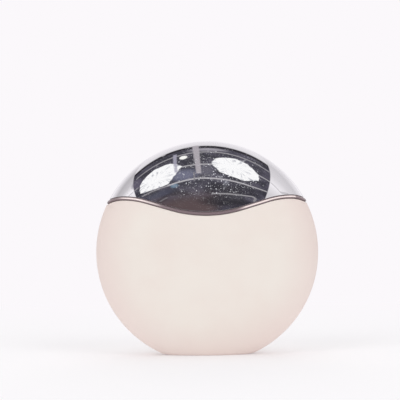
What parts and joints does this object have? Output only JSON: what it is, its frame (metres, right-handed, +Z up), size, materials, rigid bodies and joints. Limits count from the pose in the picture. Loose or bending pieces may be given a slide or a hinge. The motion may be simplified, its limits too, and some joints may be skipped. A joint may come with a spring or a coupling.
{
  "type": "facial toning device",
  "caption": "Round pebble-shaped facial toning device: beige body, wavy seam with metal trim, bright metal electrode head, rear button, flat base with a charging port.",
  "frame": {"origin": "middle of the flat base, under the centre of the round body", "axes": "+Z up through the metal head, +Y out of the face with the button, -Y out of the plain face, +X along the width"},
  "size_m": [0.084, 0.032, 0.0806],
  "materials": {
    "cover_plastic": "soft-touch moulded plastic, warm beige",
    "button_plastic": "soft-touch moulded plastic, warm beige",
    "electrode_metal": "mirror-bright plated metal",
    "trim_metal": "bright plated trim",
    "divider_plastic": "glossy insulating strip",
    "carrier_plastic": "moulded plastic, white",
    "seal_rubber": "silicone rubber, black",
    "screw_steel": "zinc-plated steel",
    "frame_plastic": "moulded plastic, dark grey",
    "board_laminate": "glass-fibre laminate, green",
    "chip_plastic": "moulded plastic, black",
    "socket_plastic": "moulded plastic, ivory",
    "plunger_plastic": "moulded plastic, red",
    "guide_plastic": "clear moulded plastic",
    "led_plastic": "moulded lamp body, pale yellow",
    "cell_foil": "laminated foil pouch, silver grey",
    "tape_foam": "foam tape, white",
    "lead_film": "flexible film lead, amber",
    "port_metal": "drawn steel",
    "motor_metal": "drawn steel can",
    "weight_metal": "sintered heavy metal",
    "contact_brass": "spring brass strip"
  },
  "bodies": {
    "device": {"front_cover": "cover_plastic", "rear_cover": "cover_plastic", "trim_ring": "trim_metal", "front_electrode": "electrode_metal", "rear_electrode": "electrode_metal", "electrode_divider": "divider_plastic", "head_carrier": "carrier_plastic", "head_seal": "seal_rubber", "head_screws": "screw_steel", "inner_frame": "frame_plastic", "frame_screws": "screw_steel", "main_board": "board_laminate", "board_screws": "screw_steel", "board_chips": "chip_plastic", "board_sockets": "socket_plastic", "tact_switch": "chip_plastic", "button_bezel": "trim_metal", "button_seal": "seal_rubber", "light_guide": "guide_plastic", "status_leds": "led_plastic", "battery_cell": "cell_foil", "battery_tape": "tape_foam", "battery_lead": "lead_film", "port_board": "board_laminate", "port_screws": "screw_steel", "port_shell": "port_metal", "port_tongue": "chip_plastic", "port_lead": "lead_film", "motor_can": "motor_metal", "motor_saddle": "seal_rubber", "motor_lead": "lead_film", "front_contact": "contact_brass", "rear_contact": "contact_brass"},
    "button": {"power_button": "button_plastic"},
    "plunger": {"switch_plunger": "plunger_plastic"},
    "rotor": {"motor_shaft": "motor_metal", "motor_weight": "weight_metal"}
  },
  "joints": [
    {"name": "button_press", "type": "slide", "parent": "device", "child": "button", "axis": [0, -1, 0], "range_m": [0, 0.0005], "stiffness_N_per_m": 2000},
    {"name": "plunger_press", "type": "slide", "parent": "device", "child": "plunger", "axis": [0, -1, 0], "range_m": [0, 0.0005]},
    {"name": "motor_spin", "type": "hinge", "parent": "device", "child": "rotor", "pos_m": [0.01, 0, 0.0609], "axis": [1, 0, 0], "continuous": true}
  ],
  "couplings": [
    {"joint": "plunger_press", "follows": "button_press", "ratio": 1}
  ]
}
